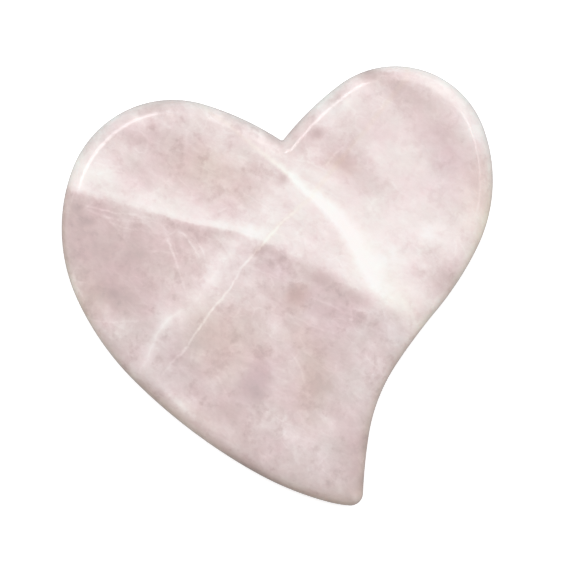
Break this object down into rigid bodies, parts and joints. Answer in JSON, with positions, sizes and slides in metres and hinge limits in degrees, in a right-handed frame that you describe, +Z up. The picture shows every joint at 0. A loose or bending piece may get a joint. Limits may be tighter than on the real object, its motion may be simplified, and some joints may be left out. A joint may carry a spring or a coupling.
{
  "type": "gua sha scraper",
  "caption": "Flat heart-shaped massage stone with a notch between uneven lobes, a hollow side, a hooked tail and a rounded rim, for scraping and pressing the skin.",
  "frame": {"origin": "centre of the bounding box, on the underside that the board lies on", "axes": "+X towards the side of the higher lobe, +Y from the tail towards the lobes, +Z up through the thickness"},
  "size_m": [0.0746, 0.076, 0.006],
  "materials": {
    "stone": "polished"
  },
  "bodies": {
    "root": {"stone": "stone"}
  },
  "joints": []
}
